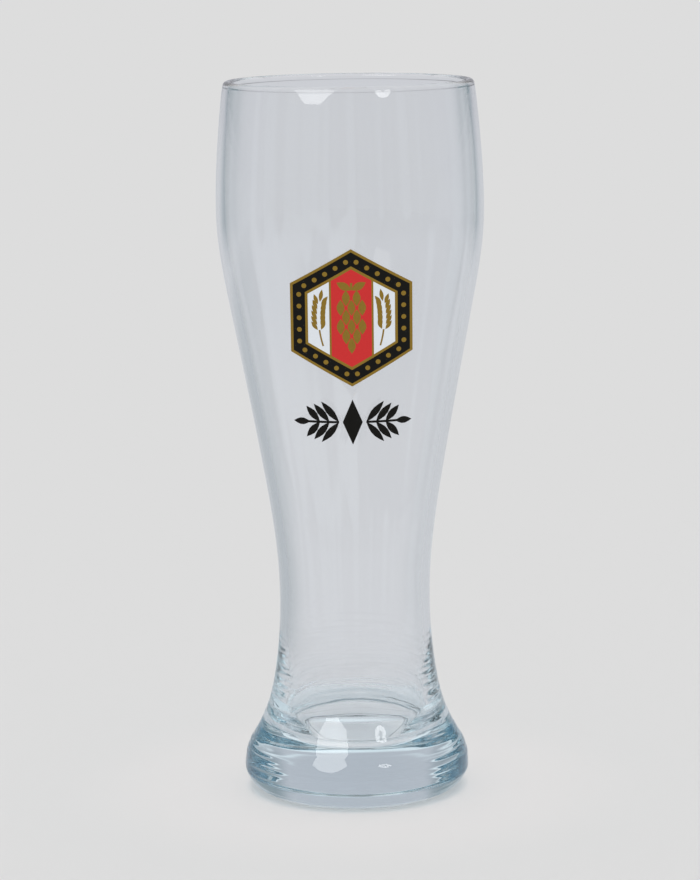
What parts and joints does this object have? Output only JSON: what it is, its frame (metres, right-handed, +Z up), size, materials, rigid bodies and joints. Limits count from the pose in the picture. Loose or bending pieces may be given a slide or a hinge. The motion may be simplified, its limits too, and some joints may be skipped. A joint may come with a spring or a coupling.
{
  "type": "wheat beer glass",
  "caption": "Tall waisted wheat beer glass with a wide bowl, a narrow waist, a thick flared foot, and a hexagonal printed label over a leaf garland.",
  "frame": {"origin": "on the axis of the glass, in the plane of the ring that it stands on", "axes": "+Z up along the axis of the glass, -Y out of the printed front, +X to the right of someone who looks at the print"},
  "size_m": [0.0836, 0.0836, 0.225],
  "materials": {
    "glass": "clear soda-lime glass, fire-polished, faint blue-green in the thick foot",
    "black_ink": "fired ceramic ink, satin gloss",
    "gold_ink": "fired ochre gold ink, satin gloss",
    "red_ink": "fired ceramic ink, satin gloss",
    "white_ink": "fired ceramic ink, satin gloss"
  },
  "bodies": {
    "root": {"glass_body": "glass", "label_black_ink": "black_ink", "label_gold_ink": "gold_ink", "label_red_ink": "red_ink", "label_white_ink": "white_ink", "garland_black_ink": "black_ink"}
  },
  "joints": []
}
